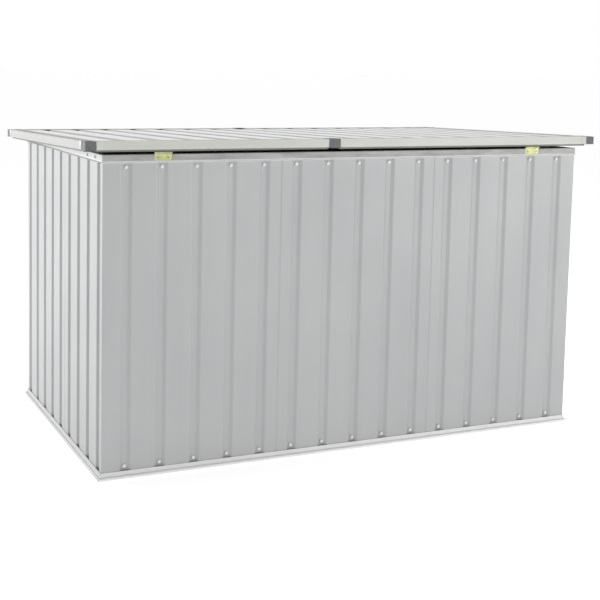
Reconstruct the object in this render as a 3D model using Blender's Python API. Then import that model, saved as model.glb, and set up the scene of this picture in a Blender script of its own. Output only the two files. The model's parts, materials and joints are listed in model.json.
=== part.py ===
"""Garden storage box: grooved steel walls in a rail frame, with a tilted lid on two rear butt hinges."""

import math

import bmesh
import bpy
from mathutils import Vector

# Driving dimensions, in metres. The hinge side faces -Y and the lid opens at the +Y side.
box_length = 1.562
box_depth = 0.890
rim_height = 0.8965
groove_pitch = 0.102
groove_depth = 0.006
groove_mouth = 0.032
groove_floor = 0.014
sheet = 0.0008
plate = 0.0012
gap = 0.0003

long_wall_grooves = 15
short_wall_grooves = 9

lid_length = 1.672
lid_depth = 0.984
lid_near_overhang = 0.0202
lid_near_top = 0.934
lid_far_top = 0.911
lid_web_bottom = 0.0092
lid_strip_bottom = 0.0037
lid_strip_setback = 0.008
lid_flange = 0.040
lid_ledge = 0.030
corner_leg_x = 0.030
corner_leg_y = lid_flange
corner_leg_depth = 0.014
joint_length = 0.036
near_joint_x = -0.097
far_joint_x = 0.013
joint_proud = 0.0015
beam_depth = 0.005
beam_drop = 0.0011
beam_inset = 0.060
beam_end = 0.0255

hinge_height = 0.9008
hinge_x = 0.612
hinge_width = 0.050
knuckle_radius = 0.0032
pin_radius = 0.0017
lower_leaf_drop = 0.0205
upper_leaf_reach = 0.032

rail_inner_leg = 0.0087
rail_outer_face = 0.0018
foot_reach = 0.0106
rail_bend = 0.0026
floor_height = 0.052

strut_inset = 0.030
strut_foot = (0.068, -0.238)
strut_top = (0.168, -0.016)
strut_tube_radius = 0.009
strut_rod_radius = 0.004
strut_tube_length = 0.205

# Worked out from the driving dimensions. Lid coordinates start on the hinge axis and tilt with the lid.
lid_tilt = math.atan2(lid_near_top - lid_far_top, lid_depth)
lid_top = lid_near_top - hinge_height - lid_near_overhang * math.sin(lid_tilt)
lid_near = -lid_near_overhang
lid_far = lid_near + lid_depth
hinge_y = -0.5 * ((lid_near - joint_proud) + lid_far + joint_proud + lid_top * math.sin(lid_tilt))
wall_near = hinge_y + knuckle_radius + gap + rail_outer_face
wall_far = wall_near + box_depth
wall_right = box_length / 2
wall_left = -wall_right
box_middle_y = (wall_near + wall_far) / 2
ridge_top = lid_top - plate - gap
groove_under = ridge_top - sheet - groove_depth

finishes = {
    "wall_paint": ((0.50, 0.51, 0.52), 0.55, 0.4),
    "rail_zinc": ((0.62, 0.64, 0.63), 0.45, 0.7),
    "cream_paint": ((0.64, 0.65, 0.57), 0.5, 0.1),
    "grey_plastic": ((0.13, 0.13, 0.13), 0.6, 0.0),
    "yellow_zinc": ((0.45, 0.47, 0.20), 0.4, 0.8),
    "black_rubber": ((0.03, 0.03, 0.03), 0.8, 0.0),
    "black_tube": ((0.04, 0.04, 0.045), 0.35, 0.3),
    "bright_steel": ((0.60, 0.60, 0.60), 0.25, 1.0),
}


def clear_scene():
    for item in list(bpy.data.objects):
        bpy.data.objects.remove(item)


def painted(name, finish):
    colour, roughness, metallic = finishes[finish]
    material = bpy.data.materials.new(name + "_" + finish)
    material.use_nodes = True
    shader = material.node_tree.nodes["Principled BSDF"]
    shader.inputs["Base Color"].default_value = (*colour, 1.0)
    shader.inputs["Roughness"].default_value = roughness
    shader.inputs["Metallic"].default_value = metallic
    return material


def mesh_object(name, points, faces, finish, parent=None):
    mesh = bpy.data.meshes.new(name)
    mesh.from_pydata([tuple(point) for point in points], [], faces)
    work = bmesh.new()
    work.from_mesh(mesh)
    bmesh.ops.recalc_face_normals(work, faces=work.faces)
    work.to_mesh(mesh)
    work.free()
    item = bpy.data.objects.new(name, mesh)
    bpy.context.collection.objects.link(item)
    item.parent = parent
    if finish is None:
        item.display_type = "WIRE"
        item.hide_render = True
    else:
        mesh.materials.append(painted(name, finish))
    return item


def prism(name, outline, start, end, place, finish, parent=None):
    """Closed outline swept from start to end; each may be a number or a function of the outline point."""
    first = start if callable(start) else lambda a, b: start
    last = end if callable(end) else lambda a, b: end
    count = len(outline)
    points = [place(first(a, b), a, b) for a, b in outline]
    points += [place(last(a, b), a, b) for a, b in outline]
    sides = [(i, (i + 1) % count, (i + 1) % count + count, i + count) for i in range(count)]
    caps = [tuple(range(count - 1, -1, -1)), tuple(range(count, 2 * count))]
    return mesh_object(name, points, sides + caps, finish, parent)


def along_x(s, a, b):
    return Vector((s, a, b))


def along_y(s, a, b):
    return Vector((a, s, b))


def along_z(s, a, b):
    return Vector((a, b, s))


def box(name, low, high, finish, parent=None):
    outline = [(low[0], low[1]), (high[0], low[1]), (high[0], high[1]), (low[0], high[1])]
    return prism(name, outline, low[2], high[2], along_z, finish, parent)


def offset_line(path, distance):
    """The path moved sideways by distance, with mitred bends."""
    moved = []
    for i, (a, b) in enumerate(path):
        before = Vector(path[max(i - 1, 0)])
        after = Vector(path[min(i + 1, len(path) - 1)])
        here = Vector((a, b))
        incoming = (here - before).normalized() if i else (after - here).normalized()
        outgoing = (after - here).normalized() if i < len(path) - 1 else incoming
        normal_in = Vector((-incoming.y, incoming.x))
        normal_out = Vector((-outgoing.y, outgoing.x))
        mitre = (normal_in + normal_out) / (1 + normal_in.dot(normal_out))
        moved.append((a + mitre.x * distance, b + mitre.y * distance))
    return moved


def strip(path, thickness):
    """Outline of bent sheet: the path and the same path offset to its left by the thickness."""
    return list(path) + list(reversed(offset_line(path, thickness)))


def rounded_path(corners, radius, steps=3):
    """The corner points with each inner bend replaced by a short arc-like curve."""
    path = [corners[0]]
    for before, here, after in zip(corners, corners[1:], corners[2:]):
        here = Vector(here)
        back = Vector(before) - here
        ahead = Vector(after) - here
        reach = min(radius, back.length * 0.45, ahead.length * 0.45)
        entry = here + back.normalized() * reach
        leave = here + ahead.normalized() * reach
        for i in range(steps + 1):
            t = i / steps
            point = entry * (1 - t) ** 2 + here * 2 * t * (1 - t) + leave * t ** 2
            path.append((point.x, point.y))
    path.append(corners[-1])
    return path


def grooved_path(start, end, centres, lap_at_start):
    """Sheet line along a wall: sideways position against depth, with a groove at each centre."""
    corners = [(start, 0.0)]
    if lap_at_start:
        step = sheet + gap
        corners = [(start, step), (start + 0.018, step), (start + 0.021, 0.0)]
    for centre in centres:
        half_mouth = groove_mouth / 2
        half_floor = groove_floor / 2
        corners += [(centre - half_mouth, 0.0), (centre - half_floor, groove_depth)]
        corners += [(centre + half_floor, groove_depth), (centre + half_mouth, 0.0)]
    corners.append((end, 0.0))
    return rounded_path(corners, 0.0025)


def groove_centres(count, middle):
    return [middle + (i - (count - 1) / 2) * groove_pitch for i in range(count)]


def sheet_panels(names, low, high, centres, place, bottom, top, finish, parent=None):
    """Grooved panels side by side; each after the first laps behind the one before it."""
    share = len(centres) // len(names)
    for index, name in enumerate(names):
        own = centres[index * share:(index + 1) * share]
        last = index == len(names) - 1
        if last:
            own = centres[index * share:]
        start = low if index == 0 else own[0] - groove_pitch / 2 - 0.016
        end = high if last else own[-1] + groove_pitch / 2
        path = grooved_path(start, end, own, index > 0)
        prism(name, strip(path, sheet), bottom, top, place, finish, parent)


# The four walls share one section each way. A wall's own depth runs inwards from its outer face.
sides = {
    "near": (lambda s, depth, z: Vector((s, wall_near + depth, z)), wall_left, wall_right),
    "far": (lambda s, depth, z: Vector((s, wall_far - depth, z)), wall_left, wall_right),
    "left": (lambda s, depth, z: Vector((wall_left + depth, s, z)), wall_near, wall_far),
    "right": (lambda s, depth, z: Vector((wall_right - depth, s, z)), wall_near, wall_far),
}


def mitred_rails(prefix, corners):
    """Four rails with one bent-sheet section, mitred where they meet at the corners."""
    outline = strip(rounded_path(corners, rail_bend), plate)
    for side, (place, low, high) in sides.items():
        prism(
            prefix + "_" + side, outline,
            lambda depth, z, low=low: low + depth + gap,
            lambda depth, z, high=high: high - depth - gap,
            place, "rail_zinc",
        )


def build_base_rails():
    inner = rail_inner_leg
    section = [
        (-0.0016, 0.0212), (-0.0038, 0.0098), (-foot_reach + 0.0012, 0.0084),
        (-foot_reach, 0.0), (inner, 0.0), (inner, 0.050),
    ]
    mitred_rails("base_rail", section)


def build_top_rails():
    face = -rail_outer_face
    section = [
        (rail_inner_leg, 0.850), (rail_inner_leg, rim_height), (face, rim_height),
        (face, 0.8775), (face - 0.0026, 0.8738),
    ]
    mitred_rails("top_rail", section)


def build_walls():
    bottom = plate + 2 * gap
    top = rim_height - plate - 2 * gap
    long_centres = groove_centres(long_wall_grooves, 0.0)
    short_centres = groove_centres(short_wall_grooves, box_middle_y)
    for side in ("near", "far"):
        place = sides[side][0]
        names = ["wall_" + side + "_" + part for part in ("left", "middle", "right")]
        upright = lambda z, s, depth, place=place: place(s, depth, z)
        sheet_panels(names, wall_left, wall_right, long_centres, upright, bottom, top, "wall_paint")
    for side in ("left", "right"):
        place = sides[side][0]
        names = ["wall_" + side + "_" + part for part in ("near", "far")]
        upright = lambda z, s, depth, place=place: place(s, depth, z)
        inset = sheet + gap
        sheet_panels(
            names, wall_near + inset, wall_far - inset, short_centres, upright, bottom, top, "wall_paint"
        )


def build_corner_posts():
    leg = 0.015
    near = sheet + gap
    for side_x, edge_x, inward_x in (("left", wall_left, 1), ("right", wall_right, -1)):
        for side_y, edge_y, inward_y in (("near", wall_near, 1), ("far", wall_far, -1)):
            path = [(near, near + leg), (near, near), (near + leg, near)]
            outline = [
                (edge_x + inward_x * a, edge_y + inward_y * b)
                for a, b in strip(path, plate)
            ]
            name = "corner_post_" + side_y + "_" + side_x
            prism(name, outline, plate + gap, rim_height - plate - gap, along_z, "rail_zinc")


def build_floor():
    inset = rail_inner_leg + 0.0015
    low = (wall_left + inset, wall_near + inset, floor_height)
    high = (wall_right - inset, wall_far - inset, floor_height + plate)
    box("floor_panel", low, high, "wall_paint")
    hat = [
        (-0.045, floor_height - gap - plate), (-0.022, floor_height - gap - plate),
        (-0.018, gap), (0.018, gap),
        (0.022, floor_height - gap - plate), (0.045, floor_height - gap - plate),
    ]
    for side, x in (("left", -box_length / 6), ("right", box_length / 6)):
        outline = [(x + a, b) for a, b in strip(hat, plate)]
        ends = rail_inner_leg + gap
        prism("floor_bearer_" + side, outline, wall_near + ends, wall_far - ends, along_y, "rail_zinc")


def lid_rail_section():
    """Lid rail in outward-facing form: outer face at 0, inwards positive, up in lid height."""
    step = lid_strip_setback
    return [
        (lid_ledge + step, lid_strip_bottom), (step, lid_strip_bottom), (step, lid_web_bottom),
        (0.0, lid_web_bottom), (0.0, lid_top), (lid_flange, lid_top),
    ]


def build_lid_rails(lid):
    outline = [(a, b) for a, b in strip(lid_rail_section(), -plate)]
    half = joint_length / 2 + gap
    end_x = lid_length / 2 - corner_leg_x - gap
    near = lambda s, a, b: Vector((s, lid_near + a, b))
    far = lambda s, a, b: Vector((s, lid_far - a, b))
    for side, place, joint in (("near", near, near_joint_x), ("far", far, far_joint_x)):
        prism("lid_rail_" + side + "_left", outline, -end_x, joint - half, place, "cream_paint", lid)
        prism("lid_rail_" + side + "_right", outline, joint + half, end_x, place, "cream_paint", lid)
    left = lambda s, a, b: Vector((-lid_length / 2 + a, s, b))
    right = lambda s, a, b: Vector((lid_length / 2 - a, s, b))
    start = lid_near + lid_flange + gap
    end = lid_far - lid_flange - gap
    for side, place in (("left", left), ("right", right)):
        prism("lid_rail_" + side, outline, start, end, place, "cream_paint", lid)


def build_lid_corners(lid):
    depth = corner_leg_depth
    plan = [
        (0.0, 0.0), (corner_leg_x, 0.0), (corner_leg_x, depth),
        (depth, depth), (depth, corner_leg_y), (0.0, corner_leg_y),
    ]
    for side_y, edge_y, inward_y in (("near", lid_near, 1), ("far", lid_far, -1)):
        for side_x, edge_x, inward_x in (("left", -lid_length / 2, 1), ("right", lid_length / 2, -1)):
            outline = [(edge_x + inward_x * a, edge_y + inward_y * b) for a, b in plan]
            name = "lid_corner_" + side_y + "_" + side_x
            block = prism(name, outline, lid_web_bottom - 0.001, lid_top, along_z, "grey_plastic", lid)
            bevel = block.modifiers.new("edges", "BEVEL")
            bevel.width = 0.0008
            bevel.segments = 2


def build_lid_joints(lid):
    proud = joint_proud
    low = lid_web_bottom - 0.002
    high = lid_top + 0.001
    under = lid_top - plate
    outline = [
        (-proud, low), (-proud, high), (lid_flange, high), (lid_flange, under),
        (0.003, under), (0.003, low + 0.003), (0.012, low + 0.003), (0.012, low),
    ]
    half = joint_length / 2
    near = lambda s, a, b: Vector((s, lid_near + a, b))
    far = lambda s, a, b: Vector((s, lid_far - a, b))
    for side, place, x in (("near", near, near_joint_x), ("far", far, far_joint_x)):
        block = prism("lid_joint_" + side, outline, x - half, x + half, place, "grey_plastic", lid)
        bevel = block.modifiers.new("edges", "BEVEL")
        bevel.width = 0.0006
        bevel.segments = 2


def build_roof(lid):
    edge = corner_leg_depth + gap
    low = -lid_length / 2 + edge
    high = lid_length / 2 - edge
    centres = groove_centres(long_wall_grooves, 0.0)
    flat = lambda s, a, depth: Vector((a, s, ridge_top - depth))
    sheet_panels(
        ["roof_panel_left", "roof_panel_right"], low, high, centres, flat,
        lid_near + edge, lid_far - edge, "wall_paint", lid,
    )
    top = groove_under - gap - beam_drop
    hat = [
        (-0.020, top), (-0.010, top), (-0.008, top - beam_depth),
        (0.008, top - beam_depth), (0.010, top), (0.020, top),
    ]
    for side, x in (("left", wall_left + beam_inset), ("middle", 0.0), ("right", wall_right - beam_inset)):
        outline = [(x + a, b) for a, b in strip(hat, -plate)]
        ends = (lid_near + beam_end, lid_far - beam_end)
        prism("lid_beam_" + side, outline, *ends, along_y, "rail_zinc", lid)
    return top - beam_depth - plate


def curl(start_angle, tail, root):
    """Hinge leaf line: a straight tail up to its root beside the knuckle, then the curl round the pin."""
    radius = knuckle_radius - plate / 2
    steps = 20
    sweep = math.radians(300)
    angles = [start_angle + sweep * i / steps for i in range(steps + 1)]
    arc = [(radius * math.cos(angle), radius * math.sin(angle)) for angle in angles]
    return [tail, root] + arc


def leaf(name, path, filled, x, finish, parent=None):
    """Bent leaf of five equal lengths; filled(step, length) says which cells of the leaf are there."""
    inner = offset_line(path, plate / 2)
    outer = offset_line(path, -plate / 2)
    stations = [x - hinge_width / 2 + hinge_width * i / 5 for i in range(6)]
    cells = {
        (i, j) for i in range(len(path) - 1) for j in range(5) if filled(i, j)
    }
    points = {}
    faces = []

    def corner(i, j, side):
        key = (i, j, side)
        if key not in points:
            a, b = (inner if side else outer)[i]
            points[key] = (len(points), Vector((stations[j], a, b)))
        return points[key][0]

    for i, j in sorted(cells):
        for side in (0, 1):
            around = ((i, j), (i + 1, j), (i + 1, j + 1), (i, j + 1))
            faces.append(tuple(corner(row, column, side) for row, column in around))
        for step, row in ((-1, i), (1, i + 1)):
            if (i + step, j) not in cells:
                around = ((j, 0), (j + 1, 0), (j + 1, 1), (j, 1))
                faces.append(tuple(corner(row, column, side) for column, side in around))
        for step, column in ((-1, j), (1, j + 1)):
            if (i, j + step) not in cells:
                around = ((i, 0), (i + 1, 0), (i + 1, 1), (i, 1))
                faces.append(tuple(corner(row, column, side) for row, side in around))
    ordered = [point for index, point in sorted(points.values(), key=lambda entry: entry[0])]
    return mesh_object(name, ordered, faces, finish, parent)


def pivot_empty(name, location, tilt):
    pivot = bpy.data.objects.new(name, None)
    bpy.context.collection.objects.link(pivot)
    pivot.location = location
    pivot.rotation_euler = (tilt, 0.0, 0.0)
    return pivot


def rod(name, radius, start, end, centre, finish, parent=None, sides_count=24):
    """Round bar along X with its axis at the given (y, z)."""
    outline = [
        (
            centre[0] + radius * math.cos(math.tau * i / sides_count),
            centre[1] + radius * math.sin(math.tau * i / sides_count),
        )
        for i in range(sides_count)
    ]
    return prism(name, outline, start, end, along_x, finish, parent)


def even_lengths(step, length):
    return step == 0 or length % 2 == 0


def odd_lengths(step, length):
    return step == 0 or length % 2 == 1


def build_hinges(lid):
    axis = pivot_empty("hinge_line", (0.0, hinge_y, hinge_height), 0.0)
    level = knuckle_radius - plate / 2
    root = knuckle_radius + 2 * gap
    upper_path = curl(math.radians(90), (upper_leaf_reach, level), (root, level))
    lower_path = curl(0.0, (level, -lower_leaf_drop), (level, -root))
    for side, x in (("left", -hinge_x), ("right", hinge_x)):
        leaf("hinge_lower_leaf_" + side, lower_path, even_lengths, x, "yellow_zinc", axis)
        leaf("hinge_upper_leaf_" + side, upper_path, odd_lengths, x, "yellow_zinc", lid)
        reach = hinge_width / 2 + 0.001
        rod("hinge_pin_" + side, pin_radius, x - reach, x + reach, (0.0, 0.0), "yellow_zinc", axis)


def turned(name, profile, finish, parent):
    """Round piece about its parent's Z axis, from a closed (radius, height) profile with ends on the axis."""
    count = 24
    points = []
    rings = []
    for radius, height in profile:
        if radius == 0.0:
            rings.append([len(points)])
            points.append(Vector((0.0, 0.0, height)))
            continue
        rings.append(list(range(len(points), len(points) + count)))
        angles = [math.tau * k / count for k in range(count)]
        points += [Vector((radius * math.cos(a), radius * math.sin(a), height)) for a in angles]
    faces = []
    for first, second in zip(rings, rings[1:]):
        for k in range(count):
            n = (k + 1) % count
            if len(first) == 1:
                faces.append((first[0], second[k], second[n]))
            elif len(second) == 1:
                faces.append((first[k], second[0], first[n]))
            else:
                faces.append((first[k], first[n], second[n], second[k]))
    return mesh_object(name, points, faces, finish, parent)


def combine(item, tool, operation):
    step = item.modifiers.new(operation.lower(), "BOOLEAN")
    step.operation = operation
    step.solver = "EXACT"
    step.object = tool


def strut_line():
    """Rest position of both strut pivots in the (y, z) plane, and the strut's length and lean."""
    foot = Vector((hinge_y + strut_foot[0], hinge_height + strut_foot[1]))
    top_y = strut_top[0] * math.cos(lid_tilt) + strut_top[1] * math.sin(lid_tilt)
    top_z = strut_top[1] * math.cos(lid_tilt) - strut_top[0] * math.sin(lid_tilt)
    top = Vector((hinge_y + top_y, hinge_height + top_z))
    run = top - foot
    return foot, run.length, math.atan2(run.y, run.x)


def build_struts(lid, beam_bottom):
    foot, length, lean = strut_line()
    eye_radius = 0.007
    pin = 0.0029
    for side, wall, inward in (("left", wall_left, 1), ("right", wall_right, -1)):
        x = wall + inward * strut_inset
        pivot = pivot_empty("strut_pivot_" + side, (x, foot.x, foot.y), lean - math.pi / 2)
        bore = strut_rod_radius + 0.0004
        tube = turned("strut_cylinder_" + side, [
            (0.0, -eye_radius), (eye_radius, -eye_radius), (eye_radius, 0.012), (strut_tube_radius, 0.014),
            (strut_tube_radius, strut_tube_length), (bore, strut_tube_length), (bore, 0.020), (0.0, 0.020),
        ], "black_tube", pivot)
        hole = rod("strut_eye_hole_" + side, pin + 0.0003, -0.02, 0.02, (0.0, 0.0), None, pivot)
        combine(tube, hole, "DIFFERENCE")
        turned("strut_rod_" + side, [
            (0.0, 0.024), (strut_rod_radius, 0.024), (strut_rod_radius, length - 0.010),
            (eye_radius, length - 0.010), (eye_radius, length + eye_radius), (0.0, length + eye_radius),
        ], "bright_steel", pivot)

        back = wall + inward * (groove_depth + sheet + gap)
        face = wall + inward * (groove_depth + sheet + gap + 0.002)
        base = prism(
            "strut_wall_bracket_" + side,
            [(foot.x - 0.018, foot.y - 0.026), (foot.x + 0.018, foot.y - 0.026),
             (foot.x + 0.018, foot.y + 0.026), (foot.x - 0.018, foot.y + 0.026)],
            back, face, along_x, "rail_zinc",
        )
        stud = rod("strut_wall_stud_" + side, pin, face - inward * 0.001, x + inward * 0.010, foot, None)
        combine(base, stud, "UNION")

        ear = x + inward * 0.012
        flange = beam_bottom - gap
        half = 0.012
        profile = [
            (ear, strut_top[1] - 0.010), (ear + inward * 0.0025, strut_top[1] - 0.010),
            (ear + inward * 0.0025, flange - 0.002), (ear + inward * 0.028, flange - 0.002),
            (ear + inward * 0.028, flange), (ear, flange),
        ]
        bracket = prism(
            "strut_lid_bracket_" + side, profile, strut_top[0] - half, strut_top[0] + half,
            along_y, "rail_zinc", lid,
        )
        tip = x + inward * (eye_radius + 0.0006)
        lid_stud = rod("strut_lid_stud_" + side, pin, tip, ear + inward * 0.001, strut_top, None, lid)
        combine(bracket, lid_stud, "UNION")


def build_lock_ears(lid):
    """Two ears side by side at the opening side, drilled in line for a padlock."""
    thick = 0.003
    apart = 0.0005
    start = wall_far + gap
    face = start + 0.002
    tip = start + 0.058
    plan = [
        (-0.028, start), (0.028, start), (0.028, face), (apart + thick, face),
        (apart + thick, tip), (apart, tip), (apart, face), (-0.028, face),
    ]
    box_ear = prism("lock_ear_box", plan, 0.842, 0.866, along_z, "rail_zinc")
    top = lid_strip_bottom - gap
    section = [
        (-0.028, top - 0.002), (-apart - thick, top - 0.002), (-apart - thick, top - 0.042),
        (-apart, top - 0.042), (-apart, top - 0.002), (0.028, top - 0.002), (0.028, top), (-0.028, top),
    ]
    lid_ear = prism("lock_ear_lid", section, lid_far - 0.036, lid_far - 0.010, along_y, "rail_zinc", lid)
    hole = rod("lock_hole", 0.0045, -0.01, 0.01, (start + 0.047, 0.853), None)
    combine(box_ear, hole, "DIFFERENCE")
    combine(lid_ear, hole, "DIFFERENCE")


def build_lid_stops():
    """Two rubber blocks on the far rail, each under a groove of the closed roof."""
    low_y = wall_far - rail_inner_leg
    high_y = wall_far + rail_outer_face - 0.002
    reach = high_y - hinge_y
    top = hinge_height + groove_under * math.cos(lid_tilt) - reach * math.sin(lid_tilt) - gap
    for side, x in (("left", -4 * groove_pitch), ("right", 4 * groove_pitch)):
        low = (x - 0.012, low_y, rim_height + gap)
        box("lid_stop_" + side, low, (x + 0.012, high_y, top), "black_rubber")


def smooth_round_pieces():
    for item in bpy.data.objects:
        if item.type == "MESH" and item.data.materials:
            item.data.shade_smooth()
            item.data.set_sharp_from_angle(angle=math.radians(32))


def main():
    clear_scene()
    lid = pivot_empty("lid_pivot", (0.0, hinge_y, hinge_height), -lid_tilt)
    build_base_rails()
    build_top_rails()
    build_walls()
    build_corner_posts()
    build_floor()
    build_lid_rails(lid)
    build_lid_corners(lid)
    build_lid_joints(lid)
    beam_bottom = build_roof(lid)
    build_hinges(lid)
    build_struts(lid, beam_bottom)
    build_lock_ears(lid)
    build_lid_stops()
    smooth_round_pieces()


main()
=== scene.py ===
import json
import math

import bmesh
import bpy
from mathutils import Matrix, Vector


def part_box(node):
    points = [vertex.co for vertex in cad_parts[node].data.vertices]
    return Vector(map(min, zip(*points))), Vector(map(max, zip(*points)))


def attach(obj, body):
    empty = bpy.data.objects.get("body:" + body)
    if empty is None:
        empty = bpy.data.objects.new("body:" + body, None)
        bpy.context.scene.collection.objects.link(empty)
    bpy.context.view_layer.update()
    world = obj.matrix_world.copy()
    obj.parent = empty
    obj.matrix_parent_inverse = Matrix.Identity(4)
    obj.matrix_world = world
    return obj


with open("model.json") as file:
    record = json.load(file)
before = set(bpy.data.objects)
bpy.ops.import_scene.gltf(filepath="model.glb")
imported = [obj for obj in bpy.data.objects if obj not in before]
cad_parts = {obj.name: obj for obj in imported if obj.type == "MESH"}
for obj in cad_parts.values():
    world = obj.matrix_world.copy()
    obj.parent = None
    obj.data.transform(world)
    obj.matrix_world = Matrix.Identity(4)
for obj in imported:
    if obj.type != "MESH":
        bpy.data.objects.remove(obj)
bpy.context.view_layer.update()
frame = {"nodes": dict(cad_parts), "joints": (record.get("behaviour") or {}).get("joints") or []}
joints = {joint["name"]: joint for joint in frame["joints"]}
hingeAt = Vector(joints["lid_hinge"]["pos_m"])
wallNear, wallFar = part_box("wall_near_left")[0].y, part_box("wall_far_left")[1].y
wallLeft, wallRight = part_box("wall_left_near")[0].x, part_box("wall_right_near")[1].x
middleY = (wallNear + wallFar) / 2
# The shut lid tilts down away from the hinges; slope is the tilt's tangent, lengths are from the hinge axis
lid = {
    "tilt": math.radians(1.339), "slope": 0.02337, "near": -0.0202, "far": 0.9638, "top": 0.032728,
    "web": 0.0092, "halfLength": 0.836,
}
lidAlong = Vector((0, math.cos(lid["tilt"]), -math.sin(lid["tilt"])))
lidUp = Vector((0, math.sin(lid["tilt"]), math.cos(lid["tilt"])))


class Wire:
    def __init__(self, tree, socket=None):
        self.tree = tree
        self.socket = socket

    def make(self, kind, settings, values, output=0):
        node = self.tree.nodes.new(kind)
        for key, value in settings.items():
            if key == "stops":
                for place, shade in zip(node.color_ramp.elements, value):
                    place.position, place.color = shade[0], (shade[1],) * 3 + (1,)
            else:
                setattr(node, key, value)
        for key, value in values.items():
            if isinstance(value, Wire):
                self.tree.links.new(value.socket, node.inputs[key])
            else:
                node.inputs[key].default_value = value
        return Wire(self.tree, node.outputs[output])

    def maths(self, operation, *values):
        return self.make("ShaderNodeMath", {"operation": operation}, dict(enumerate(values)))

    def __add__(self, other):
        return self.maths("ADD", self, other)

    def __sub__(self, other):
        return self.maths("SUBTRACT", self, other)

    def __rsub__(self, other):
        return self.maths("SUBTRACT", other, self)

    def __mul__(self, other):
        return self.maths("MULTIPLY", self, other)

    def __truediv__(self, other):
        return self.maths("DIVIDE", self, other)

    def __pow__(self, other):
        return self.maths("POWER", self, other)

    __radd__ = __add__
    __rmul__ = __mul__

    def unsigned(self):
        return self.maths("ABSOLUTE", self)

    def clipped(self):
        return self.maths("MINIMUM", self.maths("MAXIMUM", self, 0.0), 1.0)

    def noise(self, scale, detail=2.0, stretch=(1, 1, 1)):
        place = self.make("ShaderNodeMapping", {}, {"Vector": self, "Scale": stretch})
        return self.make("ShaderNodeTexNoise", {}, {"Vector": place, "Scale": scale, "Detail": detail})

    def cells(self, scale):
        return self.make("ShaderNodeTexVoronoi", {}, {"Vector": self, "Scale": scale})

    def ramp(self, *stops):
        return self.make("ShaderNodeValToRGB", {"stops": stops}, {"Fac": self})

    def part(self, axis):
        return self.make("ShaderNodeSeparateXYZ", {}, {"Vector": self}, axis)

    def height(self):
        return self.part(2)

    def tint(self, *colours):
        # from the first colour at 0 to the second at 1; inputs 6 and 7 are the colours
        first, second = (colour if isinstance(colour, Wire) else (*colour, 1) for colour in colours)
        return self.make("ShaderNodeMix", {"data_type": "RGBA"}, {0: self, 6: first, 7: second}, 2)

    def relief(self, strength, distance):
        return self.make("ShaderNodeBump", {}, {"Height": self, "Strength": strength, "Distance": distance})


def newFinish(name, constants, varying):
    # varying takes the object's own coordinates and gives the wires for the shader's sockets
    material = bpy.data.materials.new(name)
    material.use_nodes = True
    tree = material.node_tree
    shader = tree.nodes["Principled BSDF"]
    for key, value in constants.items():
        shader.inputs[key].default_value = value
    place = Wire(tree).make("ShaderNodeTexCoord", {}, {}, 3)
    for key, wire in varying(place).items():
        tree.links.new(wire.socket, shader.inputs[key])
    material.diffuse_color = (0.6, 0.6, 0.6, 1)
    return material


sheetCoat = {
    "colour": (0.495, 0.500, 0.503), "worn": (0.452, 0.458, 0.463), "dust": (0.43, 0.42, 0.395),
    "dustTop": 0.09,
}


def sheetWires(place):
    cloud = place.noise(2.6, 3.0).ramp((0.35, 0.0), (0.7, 1.0))
    streaks = place.noise(38.0, 2.0, (1, 1, 0.03)).ramp((0.42, 0.0), (0.72, 1.0))
    peel = place.noise(620.0, 2.0)
    low = (1 - place.height() / sheetCoat["dustTop"]).clipped() ** 2.0
    dirt = low * place.noise(55.0, 4.0) * 0.5
    colour = (cloud * 0.5 + streaks * 0.22).tint(sheetCoat["colour"], sheetCoat["worn"])
    return {
        "Base Color": dirt.tint(colour, sheetCoat["dust"]),
        "Roughness": 0.40 + cloud * 0.08 + dirt * 0.3,
        "Normal": (peel + place.noise(11.0, 1.0) * 4.0).relief(0.16, 0.0004),
    }


def lidRise(place):
    # height above the hinge axis along the tilted lid
    return place.height() + (place.part(1) - hingeAt.y) * lid["slope"] - hingeAt.z


# groove sizes, and the colour of the painted shade put along the grooves
grooves = {
    "pitch": 0.102, "halfMouth": 0.016, "slopeWidth": 0.009, "depth": 0.006, "paintedShade": (0.25, 0.255, 0.26),
}


def intoGroove(place, axis, centre, spread=0.0):
    # 0 on the flats, rising to 1 on a groove's floor; spread starts the rise that far outside the groove
    turns = (place.part(axis) - centre) / grooves["pitch"] + 0.5
    off = (turns.maths("FRACT", turns) - 0.5) * grooves["pitch"]
    reach = grooves["halfMouth"] + spread
    return ((reach - off.unsigned()) / grooves["slopeWidth"]).clipped()


# painted shade darkens the end walls' grooves, patchily
def sideWallWires(place):
    wires = sheetWires(place)
    inside = (intoGroove(place, 1, middleY) * 4.0).clipped()
    patchy = place.noise(7.0, 3.0, (1, 1, 0.2)).ramp((0.2, 0.7), (0.7, 1.0))
    wires["Base Color"] = (inside * patchy * 0.4).tint(wires["Base Color"], grooves["paintedShade"])
    return wires


# The roof's flats take pale tones as a painted highlight in place of reflections, and its grooves a painted
# shade
roofCoat = {
    "flatHighlight": (0.90, 0.905, 0.905), "flat": (0.82, 0.825, 0.83), "top": 0.031228, "halfSheet": 0.0004,
    "spread": 0.006,
}


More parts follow.
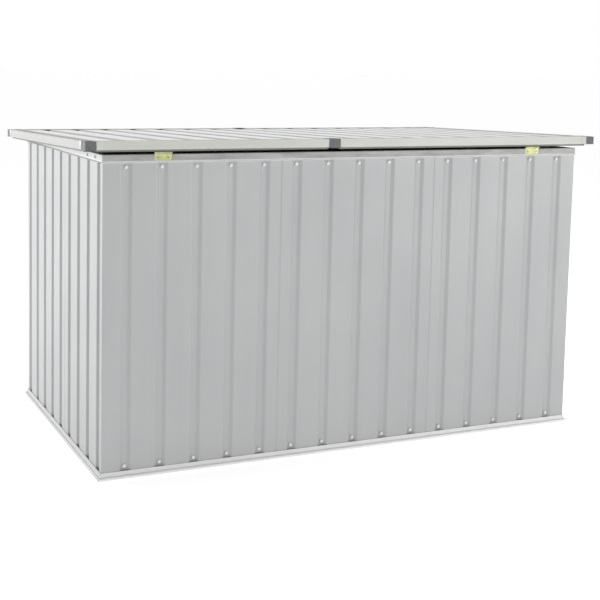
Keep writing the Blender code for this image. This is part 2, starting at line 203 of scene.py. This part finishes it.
def roofWires(place):
    # painted highlight on the flats stands in for their reflections, and painted shade darkens along the
    # grooves; the underside keeps its first colour
    wires = sheetWires(place)
    into = intoGroove(place, 0, 0.0)
    aboveSheet = lidRise(place) - roofCoat["top"] + into * grooves["depth"] + roofCoat["halfSheet"]
    upside = (aboveSheet * 5000.0).clipped()
    patchy = place.noise(9.0, 3.0, (1, 0.3, 1)).ramp((0.2, 0.7), (0.7, 1.0))
    flat = place.noise(5.0, 3.0).ramp((0.35, 0.0), (0.7, 1.0)).tint(roofCoat["flatHighlight"], roofCoat["flat"])
    # painted shade along the grooves, reaching a little onto the flats
    grooveShadeMask = intoGroove(place, 0, 0.0, roofCoat["spread"])
    above = ((grooveShadeMask * 1.6).clipped() * patchy * 0.72).tint(flat, grooves["paintedShade"])
    wires["Base Color"] = upside.tint(wires["Base Color"], above)
    wires["Roughness"] = 0.24 + into * 0.22
    return wires


# Rail colours; the shade and lip tones are painted shade and painted highlight, and the foot band is a
# lighter copy painted as light from above
railCoat = {
    "colour": (0.57, 0.575, 0.57), "bloom": (0.52, 0.525, 0.52), "shade": (0.30, 0.304, 0.30),
    "lip": (0.94, 0.945, 0.94), "lipTop": 0.8782, "foot": 0.0098, "footBand": (0.84, 0.845, 0.84),
}


def railWires(place):
    spangle = place.cells(95.0).ramp((0.1, 0.0), (0.75, 1.0))
    grain = place.noise(480.0, 2.0)
    drawn = place.noise(70.0, 2.0, (0.04, 0.04, 1)).ramp((0.4, 0.0), (0.7, 1.0))
    return {
        "Base Color": (spangle * 0.35 + drawn * 0.3).tint(railCoat["colour"], railCoat["bloom"]),
        "Roughness": 0.34 + spangle * 0.12 + drawn * 0.05,
        "Normal": (grain + drawn * 0.8).relief(0.14, 0.0004),
    }


def longRimWires(place):
    # painted shade darkens the rim's long faces where the lid overhangs them, and a painted highlight
    # brightens its turned-out lip
    wires = railWires(place)
    face = ((place.height() - railCoat["lipTop"]) * 2000.0).clipped()
    paintedShade = place.noise(14.0, 3.0, (1, 1, 6)).ramp((0.3, 0.75), (0.7, 1.0))
    lit = place.noise(60.0, 2.0).tint(railCoat["lip"], (0.86, 0.865, 0.86))
    wires["Base Color"] = (face * paintedShade).tint(lit, railCoat["shade"])
    return wires


def footWires(place):
    # painted light from above: the foot's band is painted lighter than the other rails, and its flange
    # lighter still as a painted highlight
    wires = railWires(place)
    flange = ((railCoat["foot"] - place.height()) * 1500.0).clipped()
    scuffAndHighlight = place.noise(45.0, 4.0).ramp((0.35, 0.6), (0.75, 1.0))
    band = scuffAndHighlight.tint(railCoat["footBand"], (0.78, 0.785, 0.78))
    wires["Base Color"] = (flange * scuffAndHighlight).tint(band, railCoat["lip"])
    return wires


# The lid rails' cream, a painted shade for the strip below the web, and the side rails' greyer cream,
# painted darker as shade
creamCoat = {
    "colour": (0.62, 0.635, 0.588), "deep": (0.575, 0.59, 0.54), "under": (0.10, 0.105, 0.085),
    "side": (0.46, 0.465, 0.45), "sideDeep": (0.42, 0.425, 0.41), "webBottom": 0.0088,
}


def creamWires(place, top="colour", deep="deep"):
    cloud = place.noise(4.0, 3.0).ramp((0.35, 0.0), (0.7, 1.0))
    rolled = place.noise(120.0, 2.0, (0.03, 0.03, 1)).ramp((0.4, 0.0), (0.75, 1.0))
    peel = place.noise(560.0, 2.0)
    # painted shade on the rail below the web
    below = ((creamCoat["webBottom"] - lidRise(place)) * 3000.0).clipped()
    upper = (cloud * 0.45 + rolled * 0.4).tint(creamCoat[top], creamCoat[deep])
    return {
        "Base Color": (below * 0.85).tint(upper, creamCoat["under"]),
        "Roughness": 0.40 + cloud * 0.07 + rolled * 0.06,
        "Normal": (peel + rolled * 1.2).relief(0.16, 0.0004),
    }


def plasticWires(place):
    pebble = place.cells(720.0)
    flow = place.noise(24.0, 3.0).ramp((0.35, 0.0), (0.7, 1.0))
    return {
        "Base Color": (flow * 0.6 + pebble * 0.2).tint((0.155, 0.163, 0.168), (0.115, 0.121, 0.125)),
        "Roughness": 0.50 + pebble * 0.16,
        "Normal": pebble.relief(0.35, 0.0004),
    }


def yellowWires(place):
    bloom = place.noise(90.0, 3.0).ramp((0.38, 0.0), (0.62, 1.0))
    rainbow = place.noise(150.0, 1.0).ramp((0.5, 0.0), (0.75, 1.0))
    scratch = place.noise(900.0, 1.0, (1, 0.06, 0.06))
    passivated = bloom.tint((0.56, 0.58, 0.30), (0.48, 0.48, 0.21))
    return {
        "Base Color": (rainbow * 0.35).tint(passivated, (0.46, 0.42, 0.30)),
        "Roughness": 0.34 + bloom * 0.16,
        "Normal": scratch.relief(0.12, 0.0003),
    }


def rubberWires(place):
    pores = place.noise(520.0, 4.0)
    dust = place.noise(40.0, 3.0).ramp((0.45, 0.0), (0.8, 1.0))
    return {
        "Base Color": (dust * 0.5).tint((0.022, 0.022, 0.023), (0.06, 0.058, 0.054)),
        "Roughness": 0.68 + dust * 0.15,
        "Normal": pores.relief(0.3, 0.0004),
    }


def tubeWires(place):
    peel = place.noise(330.0, 2.0)
    dust = place.noise(26.0, 3.0).ramp((0.45, 0.0), (0.8, 1.0))
    return {
        "Base Color": (dust * 0.35).tint((0.016, 0.016, 0.018), (0.05, 0.05, 0.05)),
        "Roughness": 0.26 + dust * 0.18,
        "Normal": peel.relief(0.08, 0.0003),
    }


def rodWires(place):
    ground = place.noise(900.0, 2.0, (1, 1, 0.25))
    return {
        "Base Color": ground.tint((0.62, 0.62, 0.64), (0.52, 0.52, 0.54)),
        "Roughness": 0.14 + ground * 0.14,
        "Normal": ground.relief(0.05, 0.0002),
    }


def capWires(place):
    flow = place.noise(160.0, 2.0)
    return {
        "Base Color": flow.tint((0.90, 0.90, 0.89), (0.80, 0.80, 0.78)),
        "Roughness": 0.34 + flow * 0.14,
        "Normal": flow.relief(0.1, 0.0003),
    }


# painted shade: the floors of rivet holes and screw sockets are painted near black for the shade inside
# them
def holeWires(place):
    paintedShade = place.noise(300.0, 3.0)
    return {
        "Base Color": paintedShade.tint((0.018, 0.018, 0.018), (0.05, 0.048, 0.045)),
        "Roughness": 0.7 + paintedShade * 0.2,
        "Normal": paintedShade.relief(0.3, 0.0005),
    }


paints = {
    "wall_paint": newFinish("sheetPaint", {"Metallic": 0.12}, sheetWires),
    "rail_zinc": newFinish("railPaint", {"Metallic": 0.2}, railWires),
    "cream_paint": newFinish("creamPaint", {"Metallic": 0.05}, creamWires),
    "grey_plastic": newFinish("greyPlastic", {}, plasticWires),
    "yellow_zinc": newFinish("yellowZinc", {"Metallic": 0.75}, yellowWires),
    "black_rubber": newFinish("blackRubber", {}, rubberWires),
    "black_tube": newFinish("blackTube", {"Coat Weight": 0.3, "Coat Roughness": 0.15}, tubeWires),
    "bright_steel": newFinish("brightSteel", {"Metallic": 1.0}, rodWires),
}
sideWallPaint = newFinish("sideWallPaint", {"Metallic": 0.12}, sideWallWires)
roofPaint = newFinish("roofPaint", {"Metallic": 0.12}, roofWires)
# the lid's side rails: a greyer cream, painted darker as shade
shadedSideCream = newFinish("shadedSideCream", {"Metallic": 0.05}, lambda place: creamWires(place, "side", "sideDeep"))
longRim = newFinish("longRimPaint", {"Metallic": 0.1}, longRimWires)
footPaint = newFinish("footPaint", {"Metallic": 0.1}, footWires)
whiteCap = newFinish("whiteCap", {}, capWires)
holeShade = newFinish("holeShade", {}, holeWires)

# Which finish each CAD node takes, by how its name starts; the first that fits counts
nodeFinishes = [
    ("hinge_", paints["yellow_zinc"]), ("lid_rail_left", shadedSideCream), ("lid_rail_right", shadedSideCream),
    ("lid_rail_", paints["cream_paint"]), ("lid_corner_", paints["grey_plastic"]),
    ("lid_joint_", paints["grey_plastic"]), ("lid_stop_", paints["black_rubber"]),
    ("strut_cylinder_", paints["black_tube"]), ("strut_rod_", paints["bright_steel"]),
    ("wall_left_", sideWallPaint), ("wall_right_", sideWallPaint), ("wall_", paints["wall_paint"]),
    ("roof_panel_", roofPaint), ("floor_panel", paints["wall_paint"]), ("top_rail_near", longRim),
    ("top_rail_far", longRim), ("base_rail_near", footPaint), ("base_rail_far", footPaint),
    ("", paints["rail_zinc"]),
]
for name, node in frame["nodes"].items():
    finish = next(paint for start, paint in nodeFinishes if name.startswith(start))
    node.data.materials.clear()
    node.data.materials.append(finish)
print("finishes on", len(frame["nodes"]), "nodes")


def clearSelection():
    if bpy.context.object and bpy.context.object.mode != "OBJECT":
        bpy.ops.object.mode_set(mode="OBJECT")
    bpy.ops.object.select_all(action="DESELECT")


def pickFaces(piece, test):
    work = bmesh.from_edit_mesh(piece.data)
    for face in work.faces:
        face.select_set(False)
    for face in work.faces:
        if test(face):
            face.select_set(True)
    work.select_flush(True)
    bmesh.update_edit_mesh(piece.data)


def pickEdges(piece, test):
    bpy.context.tool_settings.mesh_select_mode = (False, True, False)
    work = bmesh.from_edit_mesh(piece.data)
    for edge in work.edges:
        edge.select_set(False)
    for edge in work.edges:
        if test(edge):
            edge.select_set(True)
    bmesh.update_edit_mesh(piece.data)


def startDrum(name, radius, depth, sides):
    clearSelection()
    middle = (0, 0, depth / 2)
    bpy.ops.mesh.primitive_cylinder_add(vertices=sides, radius=radius, depth=depth, location=middle)
    drum = bpy.context.object
    drum.name = name
    bpy.ops.object.transform_apply(location=True, rotation=True, scale=True)
    bpy.ops.object.mode_set(mode="EDIT")
    bpy.context.tool_settings.mesh_select_mode = (False, False, True)
    return drum


def topFace(drum):
    work = bmesh.from_edit_mesh(drum.data)
    top = max(vertex.co.z for vertex in work.verts)
    pickFaces(drum, lambda face: all(abs(v.co.z - top) < 1e-6 for v in face.verts)
              and face.calc_center_median().xy.length < 1e-5)


def raiseTop(drum, inset, lift, shrink=1.0):
    topFace(drum)
    if inset:
        bpy.ops.mesh.inset(thickness=inset)
    if lift:
        bpy.ops.mesh.extrude_region_move(TRANSFORM_OT_translate={"value": (0, 0, lift)})
    if shrink != 1.0:
        bpy.ops.transform.resize(value=(shrink, shrink, 1))


def finishPiece(piece, paint, angle=35.0):
    bpy.ops.object.mode_set(mode="OBJECT")
    bpy.ops.object.shade_smooth_by_angle(angle=math.radians(angle))
    piece.data.materials.append(paint)
    return piece


def placeCopies(pattern, spots, name, body):
    # a copy of the pattern at each (point, direction); the pattern stands on z = 0 and faces +Z
    copies = []
    for point, direction in spots:
        piece = pattern.copy()
        piece.data = pattern.data.copy()
        bpy.context.collection.objects.link(piece)
        turn = Vector(direction).to_track_quat("Z", "Y").to_matrix().to_4x4()
        piece.matrix_world = Matrix.Translation(point) @ turn
        copies.append(piece)
    bpy.context.view_layer.update()
    clearSelection()
    for piece in copies:
        piece.select_set(True)
    bpy.context.view_layer.objects.active = copies[0]
    if len(copies) > 1:
        bpy.ops.object.join()
    whole = bpy.context.object
    bpy.ops.object.transform_apply(location=True, rotation=True, scale=True)
    whole.name = name
    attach(whole, body)
    return whole


def discard(pattern):
    bpy.data.objects.remove(pattern)


# Self-drilling screws with a white cap on a steel washer, two in each groove of the long walls
capScrew = {
    "washer": 0.0054, "washerHeight": 0.0010, "cap": 0.0048, "capHeight": 0.0022, "dome": 0.0008,
    "domeShrink": 0.74, "dimpleInset": 0.0014, "dimple": -0.0005, "dimpleShrink": 0.9,
    "sides": 14, "high": 0.862, "low": 0.0334,
}


def modelCapScrew():
    size = capScrew
    screw = startDrum("capScrew", size["washer"], size["washerHeight"], size["sides"])
    raiseTop(screw, size["washer"] - size["cap"], size["capHeight"])
    raiseTop(screw, 0.0, size["dome"], size["domeShrink"])
    raiseTop(screw, size["dimpleInset"], size["dimple"], size["dimpleShrink"])
    finishPiece(screw, paints["rail_zinc"], 50.0)
    screw.data.materials.append(whiteCap)
    for face in screw.data.polygons:
        face.material_index = int(face.center.z > size["washerHeight"] + 0.0002)
    return screw


def grooveSpots(side, height):
    depth, pitch = grooves["depth"], grooves["pitch"]
    if side == "near":
        return [((k * pitch, wallNear + depth, height), (0, -1, 0)) for k in range(-7, 8)]
    if side == "far":
        return [((k * pitch, wallFar - depth, height), (0, 1, 0)) for k in range(-7, 8)]
    x, out = (wallLeft + depth, -1) if side == "left" else (wallRight - depth, 1)
    return [((x, middleY + k * pitch, height), (out, 0, 0)) for k in range(-4, 5)]


capPattern = modelCapScrew()
for side in ("near", "far"):
    for row in ("high", "low"):
        spots = grooveSpots(side, capScrew[row])
        placeCopies(capPattern, spots, "capScrews_" + side + "_" + row, "box")
discard(capPattern)

# The end walls are held by flat rivets painted over with the sheet
paintedRivet = {
    "head": 0.0040, "height": 0.0007, "rim": 0.0006, "crown": 0.0005, "crownInset": 0.0009,
    "crownTop": 0.0002, "shrink": 0.8, "sides": 14,
}
size = paintedRivet
headPattern = startDrum("paintedRivet", size["head"], size["height"], size["sides"])
raiseTop(headPattern, size["rim"], size["crown"], size["shrink"])
raiseTop(headPattern, size["crownInset"], size["crownTop"], size["shrink"])
finishPiece(headPattern, paints["wall_paint"], 50.0)
for side in ("left", "right"):
    spots = grooveSpots(side, capScrew["high"]) + grooveSpots(side, capScrew["low"])
    placeCopies(headPattern, spots, "paintedRivets_" + side, "box")
discard(headPattern)
print("wall screws placed")

# Flat-headed screws in the hinge leaves
hingeScrew = {
    "head": 0.0036, "height": 0.0007, "rim": 0.0006, "crown": 0.0003, "shrink": 0.94, "socket": 0.0017,
    "socketDepth": 0.0007, "sides": 16, "spread": 0.0155, "aboveLeafEnd": 0.0075, "reach": 0.022,
    "leafFace": 0.0020,
}


def modelHingeScrew():
    size = hingeScrew
    screw = startDrum("hingeScrew", size["head"], size["height"], size["sides"])
    raiseTop(screw, size["rim"], size["crown"], size["shrink"])
    raiseTop(screw, size["head"] - size["rim"] - size["socket"], -size["socketDepth"])
    finishPiece(screw, paints["yellow_zinc"], 30.0)
    # the socket floor takes the painted shade
    screw.data.materials.append(holeShade)
    bottom = size["height"] - 0.0001
    for face in screw.data.polygons:
        inside = face.center.xy.length < size["socket"] * 0.5 and face.center.z < bottom
        face.material_index = int(inside)
    return screw


hingePattern = modelHingeScrew()
for side in ("left", "right"):
    low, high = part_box("hinge_lower_leaf_" + side)
    across = [(low.x + high.x) / 2 + s * hingeScrew["spread"] for s in (-1, 1)]
    faceY, z = hingeAt.y + hingeScrew["leafFace"], low.z + hingeScrew["aboveLeafEnd"]
    spots = [((x, faceY, z), (0, -1, 0)) for x in across]
    placeCopies(hingePattern, spots, "hingeScrews_lower_" + side, "box")
    reach = hingeScrew["reach"]
    z = hingeAt.z + hingeScrew["leafFace"] - math.sin(lid["tilt"]) * reach
    spots = [((x, hingeAt.y + reach, z), -lidUp) for x in across]
    placeCopies(hingePattern, spots, "hingeScrews_upper_" + side, "lid")
discard(hingePattern)
print("hinge screws placed")

# Blind rivets: a domed flange with the hole that the pulled stem leaves
rivet = {
    "flange": 0.0042, "height": 0.0009, "base": 0.4, "crown": 0.82, "hole": 0.0021, "holeDepth": 0.7,
    "sides": 16,
}


def modelRivet(name, paint, scale=1.0, opening=1.0):
    flange, height, hole = (rivet[key] * scale for key in ("flange", "height", "hole"))
    hole *= opening
    piece = startDrum(name, flange, height * rivet["base"], rivet["sides"])
    raiseTop(piece, 0.0, height * (1 - rivet["base"]), rivet["crown"])
    raiseTop(piece, flange * rivet["crown"] - hole, -height * rivet["holeDepth"])
    finishPiece(piece, paint, 40.0)
    # the hole floor takes the painted shade
    piece.data.materials.append(holeShade)
    for face in piece.data.polygons:
        inside = face.center.xy.length < hole * 0.6 and face.normal.z > 0.5
        face.material_index = int(inside)
    return piece


railRivets = {
    "fromCorner": (0.0655, 0.143), "height": 0.886, "proud": 0.0018, "scale": 1.35, "opening": 1.4,
    "fromFarCorner": 0.048,
}
rivetPattern = modelRivet("rivet", paints["rail_zinc"], railRivets["scale"], railRivets["opening"])
spots = []
for x, out in ((wallLeft - railRivets["proud"], -1), (wallRight + railRivets["proud"], 1)):
    for along in railRivets["fromCorner"]:
        for y in (wallNear + along, wallFar - along):
            spots.append(((x, y, railRivets["height"]), (out, 0, 0)))
placeCopies(rivetPattern, spots, "railRivets_sides", "box")
discard(rivetPattern)
rivetPattern = modelRivet("rivet", paints["rail_zinc"])
spots = []
for x in (wallLeft + railRivets["fromFarCorner"], wallRight - railRivets["fromFarCorner"]):
    spots.append(((x, wallFar + railRivets["proud"], railRivets["height"]), (0, 1, 0)))
placeCopies(rivetPattern, spots, "railRivets_far", "box")

# Rivets through the lock ears' flanges, the strut brackets and the floor into its bearers
rivetSpots = {
    "plate": 0.002, "ear": 0.009, "bracket": 0.0185, "bearer": 0.0115, "bearerEnd": 0.05, "rows": 6,
}
plate = rivetSpots["plate"]
low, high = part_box("lock_ear_box")
ears = (low.x + rivetSpots["ear"], high.x - rivetSpots["ear"])
spots = [((x, low.y + plate, (low.z + high.z) / 2), (0, 1, 0)) for x in ears]
placeCopies(rivetPattern, spots, "lockRivets_box", "box")
for side, inward in (("left", 1), ("right", -1)):
    low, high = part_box("strut_wall_bracket_" + side)
    face = (low.x if inward > 0 else high.x) + inward * plate
    y, z = (low.y + high.y) / 2, (low.z + high.z) / 2
    spots = [((face, y, z + s * rivetSpots["bracket"]), (inward, 0, 0)) for s in (-1, 1)]
    placeCopies(rivetPattern, spots, "bracketRivets_" + side, "box")
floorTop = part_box("floor_panel")[1].z
spots = []
for side in ("left", "right"):
    low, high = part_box("floor_bearer_" + side)
    step = (high.y - low.y - 2 * rivetSpots["bearerEnd"]) / (rivetSpots["rows"] - 1)
    for x in (low.x + rivetSpots["bearer"], high.x - rivetSpots["bearer"]):
        for k in range(rivetSpots["rows"]):
            spots.append(((x, low.y + rivetSpots["bearerEnd"] + k * step, floorTop), (0, 0, 1)))
placeCopies(rivetPattern, spots, "floorRivets", "box")
discard(rivetPattern)
print("rivets placed")

# Sleeves where the lid's rails run into the corner blocks: a thin folded strip over the rail's face and top
sleeve = {
    "length": 0.017, "lip": 0.016, "thick": 0.0005, "rise": 0.0006, "below": 0.0002, "round": 0.0002,
    "pastCornerX": 0.0306, "pastCornerY": 0.0406,
}


def modelSleeve(name, corner, along, inward, drop):
    # corner is the top outer corner of the rail next to the block, along runs away from the block
    clearSelection()
    size = sleeve
    bpy.ops.mesh.primitive_plane_add(size=1.0)
    piece = bpy.context.object
    piece.name = name
    along, inward, drop = Vector(along), Vector(inward), Vector(drop)
    down = drop.normalized()
    up = -down
    turn = Matrix((along * size["length"], inward * size["lip"], up)).transposed().to_4x4()
    middle = Vector(corner) + along * size["length"] / 2 + inward * size["lip"] / 2 + up * size["rise"]
    piece.matrix_world = Matrix.Translation(middle) @ turn
    bpy.ops.object.transform_apply(location=True, rotation=True, scale=True)
    bpy.ops.object.mode_set(mode="EDIT")
    outer = (Vector(corner) + up * size["rise"]).dot(inward)
    pickEdges(piece, lambda edge: all(abs(v.co.dot(inward) - outer) < 1e-5 for v in edge.verts))
    bpy.ops.mesh.extrude_region_move(TRANSFORM_OT_translate={"value": tuple(-inward * size["rise"])})
    bpy.ops.mesh.extrude_region_move(TRANSFORM_OT_translate={"value": tuple(drop + down * size["below"])})
    bpy.ops.mesh.select_all(action="SELECT")
    bpy.ops.mesh.normals_make_consistent(inside=False)
    bpy.ops.object.mode_set(mode="OBJECT")
    wall = piece.modifiers.new("wall", "SOLIDIFY")
    wall.thickness, wall.offset = size["thick"], 0.0
    bpy.ops.object.modifier_apply(modifier=wall.name)
    edges = piece.modifiers.new("edges", "BEVEL")
    edges.width, edges.segments, edges.limit_method = size["round"], 2, "ANGLE"
    bpy.ops.object.modifier_apply(modifier=edges.name)
    bpy.ops.object.mode_set(mode="EDIT")
    bpy.ops.mesh.select_all(action="SELECT")
    bpy.ops.mesh.normals_make_consistent(inside=False)
    finishPiece(piece, paints["cream_paint"])
    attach(piece, "lid")


def lidPoint(x, along, up):
    return Vector((x, hingeAt.y, hingeAt.z)) + lidAlong * along + lidUp * up


webDrop = lidUp * (lid["web"] - lid["top"])
for sideX, signX in (("left", -1), ("right", 1)):
    for sideY, signY in (("near", -1), ("far", 1)):
        edge = lid[sideY]
        name = "cornerSleeve_" + sideY + "_" + sideX
        corner = lidPoint(signX * (lid["halfLength"] - sleeve["pastCornerX"]), edge, lid["top"])
        modelSleeve(name + "_long", corner, (-signX, 0, 0), lidAlong * -signY, webDrop)
        corner = lidPoint(signX * lid["halfLength"], edge - signY * sleeve["pastCornerY"], lid["top"])
        modelSleeve(name + "_side", corner, lidAlong * -signY, (-signX, 0, 0), webDrop)
print("corner sleeves placed")

# Strut fittings: a crimped collar at the tube's mouth, a ferrule on the rod, push-on caps on the wall studs
collar = {"outer": 0.0104, "inner": 0.0093, "length": 0.016, "pinch": 0.0008, "sides": 28, "tube": 0.205}
ferrule = {
    "outer": 0.0064, "inner": 0.0042, "length": 0.012, "pinch": 0.0007, "sides": 28, "fromEye": 0.0295,
}
studCap = {
    "radius": 0.0062, "base": 0.0008, "rim": 0.0014, "height": 0.0014, "shrink": 0.86, "top": 0.0004,
    "topShrink": 0.7, "sides": 20, "fromFoot": 0.0080,
}


def modelRing(name, size, paint):
    # a tube with a groove pinched into its middle
    outer, inner, length = size["outer"], size["inner"], size["length"]
    ring = startDrum(name, outer, length, size["sides"])
    for way in (-1, 1):
        pickFaces(ring, lambda face: face.normal.z * way > 0.9)
        bpy.ops.mesh.inset(thickness=outer - inner)
    pickFaces(ring, lambda face: abs(face.normal.z) > 0.9
              and face.calc_center_median().xy.length < inner * 0.3)
    bpy.ops.mesh.bridge_edge_loops()
    for height in (0.35, 0.5, 0.65):
        bpy.ops.mesh.select_all(action="SELECT")
        bpy.ops.mesh.bisect(plane_co=(0, 0, length * height), plane_no=(0, 0, 1))
    pickEdges(ring, lambda edge: all(
        abs(v.co.z - length / 2) < 1e-6 and v.co.xy.length > (outer + inner) / 2 for v in edge.verts))
    pinch = 1 - size["pinch"] / outer
    bpy.ops.transform.resize(value=(pinch, pinch, 1))
    bpy.context.tool_settings.mesh_select_mode = (False, False, True)
    bpy.ops.mesh.select_all(action="SELECT")
    bpy.ops.mesh.normals_make_consistent(inside=False)
    return finishPiece(ring, paint, 40.0)


lean = Vector(joints["strut_stroke_left"]["axis"]).normalized()
foot = {side: Vector(joints["strut_swivel_" + side]["pos_m"]) for side in ("left", "right")}
strutLength = (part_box("strut_rod_left")[1].z - foot["left"].z) / lean.z
collarPattern = modelRing("collar", collar, paints["black_tube"])
ferrulePattern = modelRing("ferrule", ferrule, paints["black_rubber"])
studPattern = startDrum("studCap", studCap["radius"], studCap["base"], studCap["sides"])
raiseTop(studPattern, studCap["rim"], studCap["height"], studCap["shrink"])
raiseTop(studPattern, 0.0, studCap["top"], studCap["topShrink"])
finishPiece(studPattern, paints["rail_zinc"], 40.0)
for side, inward in (("left", 1), ("right", -1)):
    tube, rod = "strut_cylinder_" + side, "strut_rod_" + side
    start = foot[side] + lean * (collar["tube"] - collar["length"])
    placeCopies(collarPattern, [(start, lean)], "strutCollar_" + side, tube)
    start = foot[side] + lean * (strutLength - ferrule["fromEye"] - ferrule["length"] / 2)
    placeCopies(ferrulePattern, [(start, lean)], "strutFerrule_" + side, rod)
    start = foot[side] + Vector((inward * studCap["fromFoot"], 0, 0))
    placeCopies(studPattern, [(start, (inward, 0, 0))], "studCap_" + side, "box")
for pattern in (collarPattern, ferrulePattern, studPattern):
    discard(pattern)
print("strut fittings placed")

# Pale floor, soft light, camera
bpy.ops.mesh.primitive_plane_add(size=400, location=(0, 0, -0.001))
floor = bpy.context.object
floor.name = "paleFloor"
floorGlow = {"Roughness": 0.9, "Emission Color": (1, 1, 1, 1), "Emission Strength": 0.55}
floor.data.materials.append(newFinish("paleFloor", floorGlow, lambda place: {
    "Base Color": place.noise(0.6, 2.0).tint((0.93, 0.93, 0.93), (0.91, 0.91, 0.91))}))

world = bpy.data.worlds.new("studio")
bpy.context.scene.world = world
world.use_nodes = True
sky = world.node_tree.nodes["Background"]
direction = Wire(world.node_tree).make("ShaderNodeTexCoord", {}, {}, 0)
# bright beyond the far side, dim on the hinge side, and white all round the horizon
skyLevels = {"dim": 0.26, "gain": 0.74, "highShare": 0.45, "lowShare": 0.55}
farther = (direction.part(1) * 1.6 + 0.5).clipped()
rise = direction.height().unsigned()
low = (1.3 - rise * 3.0).clipped() * skyLevels["lowShare"] + skyLevels["highShare"]
upper = farther * low * skyLevels["gain"] + skyLevels["dim"]
band = (2.4 - rise * 10.0).clipped()
glow = upper + (1 - upper) * band
world.node_tree.links.new(glow.socket, sky.inputs["Strength"])
sky.inputs["Color"].default_value = (1.0, 1.0, 1.0, 1.0)

lamps = {
    "above": {"place": (0.3, 0.4, 4.2), "aim": (0, 0, 0.5), "size": 4.5, "power": 30},
    "nearRight": {"place": (3.3, -4.6, 1.5), "aim": (0, 0, 0.4), "size": 2.0, "power": 50},
    "farLeft": {"place": (-3.6, 3.6, 1.5), "aim": (-0.6, 0, 0.4), "size": 1.6, "power": 100},
    "right": {"place": (5.0, -0.4, 2.0), "aim": (0, 0, 0.5), "size": 2.0, "power": 45},
}
for name, lamp in lamps.items():
    light = bpy.data.lights.new(name, "AREA")
    light.shape, light.size, light.energy = "DISK", lamp["size"], lamp["power"]
    holder = bpy.data.objects.new(name, light)
    bpy.context.collection.objects.link(holder)
    holder.location = lamp["place"]
    toward = Vector(lamp["aim"]) - Vector(lamp["place"])
    holder.rotation_euler = toward.to_track_quat("-Z", "Y").to_euler()

view = {
    "place": (-1.6394, -3.3921, 1.1334), "right": 23.26, "down": 5.624, "roll": 0.988,
    "lens": 68.39, "shift": (0.10, -0.20),
}
camera = bpy.data.objects.new("camera", bpy.data.cameras.new("camera"))
bpy.context.collection.objects.link(camera)
camera.location = view["place"]
turn = Matrix.Rotation(math.radians(-view["right"]), 4, "Z")
turn = turn @ Matrix.Rotation(math.radians(90 - view["down"]), 4, "X")
camera.rotation_euler = (turn @ Matrix.Rotation(math.radians(view["roll"]), 4, "Z")).to_euler()
camera.data.sensor_width = 36
camera.data.lens = view["lens"]
camera.data.shift_x, camera.data.shift_y = view["shift"]
bpy.context.scene.camera = camera
bpy.context.scene.view_settings.view_transform = "Standard"
print("studio ready")
